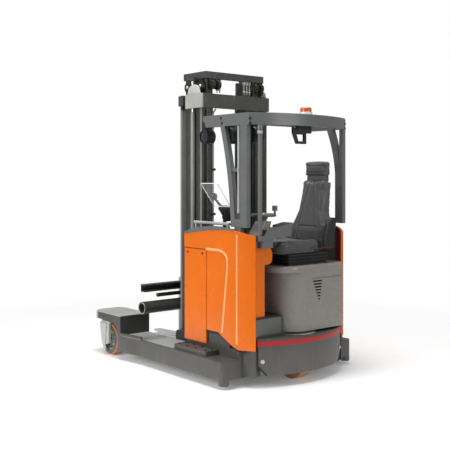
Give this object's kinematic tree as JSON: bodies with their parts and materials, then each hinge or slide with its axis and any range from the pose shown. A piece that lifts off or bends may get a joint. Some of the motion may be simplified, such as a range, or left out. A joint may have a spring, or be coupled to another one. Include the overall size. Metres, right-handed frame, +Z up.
{
  "type": "four-way reach truck",
  "caption": "Electric reach truck with sideways driver's seat under an overhead guard, reaching telescopic mast, wide fork carriage and turning load wheels on its wheel arms.",
  "frame": {"origin": "on the floor, at the centre of the parked truck's bounding box", "axes": "+X towards the fork tips, +Y to the truck's left, +Z up"},
  "size_m": [2.6, 1.582, 2.641],
  "materials": {
    "chassis_paint": "satin dark warm grey paint",
    "mast_paint": "satin near-black grey paint",
    "guard_paint": "satin mid grey paint",
    "orange_paint": "gloss orange paint",
    "red_paint": "gloss red paint",
    "silver_plastic": "silver grey moulded plastic",
    "black_plastic": "black moulded plastic",
    "leatherette": "black leatherette",
    "steel": "machined steel",
    "cast_grey": "light grey paint over castings",
    "tyre_polyurethane": "orange polyurethane",
    "battery_case": "black steel trough full of cells",
    "clear_acrylic": "clear acrylic",
    "white_plastic": "white plastic",
    "amber_lens": "amber lens"
  },
  "bodies": {
    "chassis": {"chassis_frame": "chassis_paint", "wheel_housing_left": "chassis_paint", "wheel_housing_right": "chassis_paint", "rear_skirt": "chassis_paint", "red_stripe": "red_paint", "rear_step": "chassis_paint", "battery": "battery_case", "battery_lid": "black_plastic", "side_panel_left": "orange_paint", "side_panel_right": "orange_paint", "battery_hatch": "orange_paint", "sill_plates": "chassis_paint", "footwell": "black_plastic", "seat_base": "silver_plastic", "seat_bellows": "black_plastic", "seat_cushion": "leatherette", "seat_back": "leatherette", "headrest": "leatherette", "steering_column": "orange_paint", "steering_cowling": "silver_plastic", "armrest_console": "silver_plastic", "dashboard": "silver_plastic", "clear_pane": "clear_acrylic", "control_display": "black_plastic", "overhead_guard": "guard_paint", "roof_bars": "guard_paint", "beacon_base": "white_plastic", "beacon_lens": "amber_lens", "work_lamps": "black_plastic", "mirror_bracket": "black_plastic", "grab_tube": "guard_paint"},
    "steering": {"steering_wheel": "black_plastic"},
    "drive_unit": {"drive_unit": "cast_grey"},
    "drive_wheel": {"drive_hub": "steel", "drive_tyre": "tyre_polyurethane"},
    "load_yoke_left": {"load_yoke_left": "cast_grey"},
    "load_wheel_left": {"load_hub_left": "steel", "load_tyre_left": "tyre_polyurethane"},
    "load_yoke_right": {"load_yoke_right": "cast_grey"},
    "load_wheel_right": {"load_hub_right": "steel", "load_tyre_right": "tyre_polyurethane"},
    "mast_outer": {"reach_carriage": "mast_paint", "reach_rollers": "steel", "outer_mast": "mast_paint", "lift_cylinders": "steel", "mast_chains": "steel"},
    "mast_middle": {"middle_mast": "mast_paint", "mast_pulleys": "steel", "lift_rods": "steel"},
    "mast_inner": {"inner_mast": "mast_paint", "free_lift_cylinder": "steel"},
    "lift_carriage": {"lift_carriage": "mast_paint"},
    "fork_frame": {"fork_frame": "mast_paint"},
    "fork_left": {"fork_left": "mast_paint"},
    "fork_right": {"fork_right": "mast_paint"}
  },
  "joints": [
    {"name": "steering_turn", "type": "hinge", "parent": "chassis", "child": "steering", "pos_m": [-1.06, 0.33, 1.35], "axis": [0, 0, 1], "continuous": true},
    {"name": "drive_steer", "type": "hinge", "parent": "chassis", "child": "drive_unit", "pos_m": [-1.08, 0, 0.38], "axis": [0, 0, 1], "range_deg": [-90, 90]},
    {"name": "drive_spin", "type": "hinge", "parent": "drive_unit", "child": "drive_wheel", "pos_m": [-1.08, 0, 0.18], "axis": [0, 1, 0], "continuous": true},
    {"name": "load_steer_left", "type": "hinge", "parent": "chassis", "child": "load_yoke_left", "pos_m": [0.672, 0.675, 0.33], "axis": [0, 0, 1], "range_deg": [0, 90]},
    {"name": "load_spin_left", "type": "hinge", "parent": "load_yoke_left", "child": "load_wheel_left", "pos_m": [0.672, 0.675, 0.15], "axis": [0, 1, 0], "continuous": true},
    {"name": "load_steer_right", "type": "hinge", "parent": "chassis", "child": "load_yoke_right", "pos_m": [0.672, -0.675, 0.33], "axis": [0, 0, -1], "range_deg": [0, 90]},
    {"name": "load_spin_right", "type": "hinge", "parent": "load_yoke_right", "child": "load_wheel_right", "pos_m": [0.672, -0.675, 0.15], "axis": [0, 1, 0], "continuous": true},
    {"name": "mast_reach", "type": "slide", "parent": "chassis", "child": "mast_outer", "axis": [1, 0, 0], "range_m": [0, 0.44]},
    {"name": "mast_lift", "type": "slide", "parent": "mast_outer", "child": "mast_middle", "axis": [0, 0, 1], "range_m": [0, 1.6]},
    {"name": "inner_lift", "type": "slide", "parent": "mast_middle", "child": "mast_inner", "axis": [0, 0, 1], "range_m": [0, 1.6]},
    {"name": "free_lift", "type": "slide", "parent": "mast_inner", "child": "lift_carriage", "axis": [0, 0, 1], "range_m": [0, 1.55]},
    {"name": "fork_tilt", "type": "hinge", "parent": "lift_carriage", "child": "fork_frame", "pos_m": [0.075, 0, 0.612], "axis": [0, -1, 0], "range_deg": [-1, 3]},
    {"name": "fork_spread_left", "type": "slide", "parent": "fork_frame", "child": "fork_left", "axis": [0, 1, 0], "range_m": [-0.02, 0.18]},
    {"name": "fork_spread_right", "type": "slide", "parent": "fork_frame", "child": "fork_right", "axis": [0, -1, 0], "range_m": [-0.02, 0.18]}
  ],
  "couplings": [
    {"joint": "inner_lift", "follows": "mast_lift", "ratio": 1}
  ]
}
